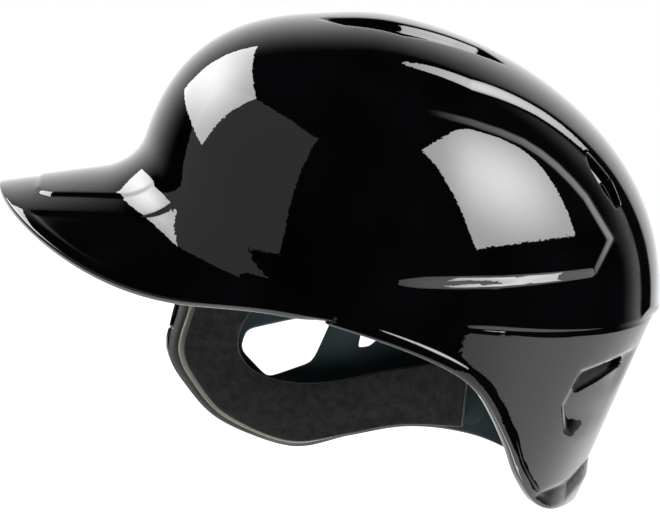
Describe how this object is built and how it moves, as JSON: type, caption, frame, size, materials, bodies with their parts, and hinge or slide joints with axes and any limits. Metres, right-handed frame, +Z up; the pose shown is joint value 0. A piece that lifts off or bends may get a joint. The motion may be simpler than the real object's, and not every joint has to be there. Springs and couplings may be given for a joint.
{
  "type": "batting helmet",
  "caption": "Gloss plastic batting helmet with a brim and one ear flap, lined with foam pads held on hook-and-loop patches.",
  "frame": {"origin": "middle of the dome's widest level, on the plane that would halve it, where the head sits", "axes": "+X towards the back of the head, -X out along the brim, +Y towards the ear flap (the wearer's right), +Z up through the crown"},
  "size_m": [0.2953, 0.1968, 0.2176],
  "materials": {
    "gloss_black": "clear gloss over moulded black plastic",
    "firm_foam": "closed-cell impact foam, cut faces",
    "soft_foam": "soft foam with a knitted face",
    "light_foam": "light grey soft foam",
    "beige_foam": "thin beige foam",
    "brushed_fabric": "brushed black knit",
    "hook_tape": "hook-and-loop tape"
  },
  "bodies": {
    "root": {"outer_shell": "gloss_black", "forehead_pad_base": "firm_foam", "forehead_pad_cushion": "soft_foam", "left_side_pad_base": "firm_foam", "left_side_pad_cushion": "soft_foam", "right_side_pad_base": "firm_foam", "right_side_pad_cushion": "soft_foam", "left_rear_pad_base": "firm_foam", "left_rear_pad_cushion": "soft_foam", "right_rear_pad_base": "firm_foam", "right_rear_pad_cushion": "soft_foam", "crown_pad_base": "firm_foam", "crown_pad_cushion": "soft_foam", "nape_pad_base": "firm_foam", "nape_pad_cushion": "light_foam", "ear_pad_base": "firm_foam", "ear_pad_lining": "beige_foam", "ear_pad_cover": "brushed_fabric", "forehead_hook_patch_1": "hook_tape", "forehead_hook_patch_2": "hook_tape", "left_side_hook_patch": "hook_tape", "right_side_hook_patch": "hook_tape", "left_rear_hook_patch": "hook_tape", "right_rear_hook_patch": "hook_tape", "crown_hook_patch": "hook_tape", "nape_hook_patch_1": "hook_tape", "nape_hook_patch_2": "hook_tape", "ear_pad_hook_patch_1": "hook_tape", "ear_pad_hook_patch_2": "hook_tape", "ear_pad_hook_patch_3": "hook_tape"}
  },
  "joints": []
}
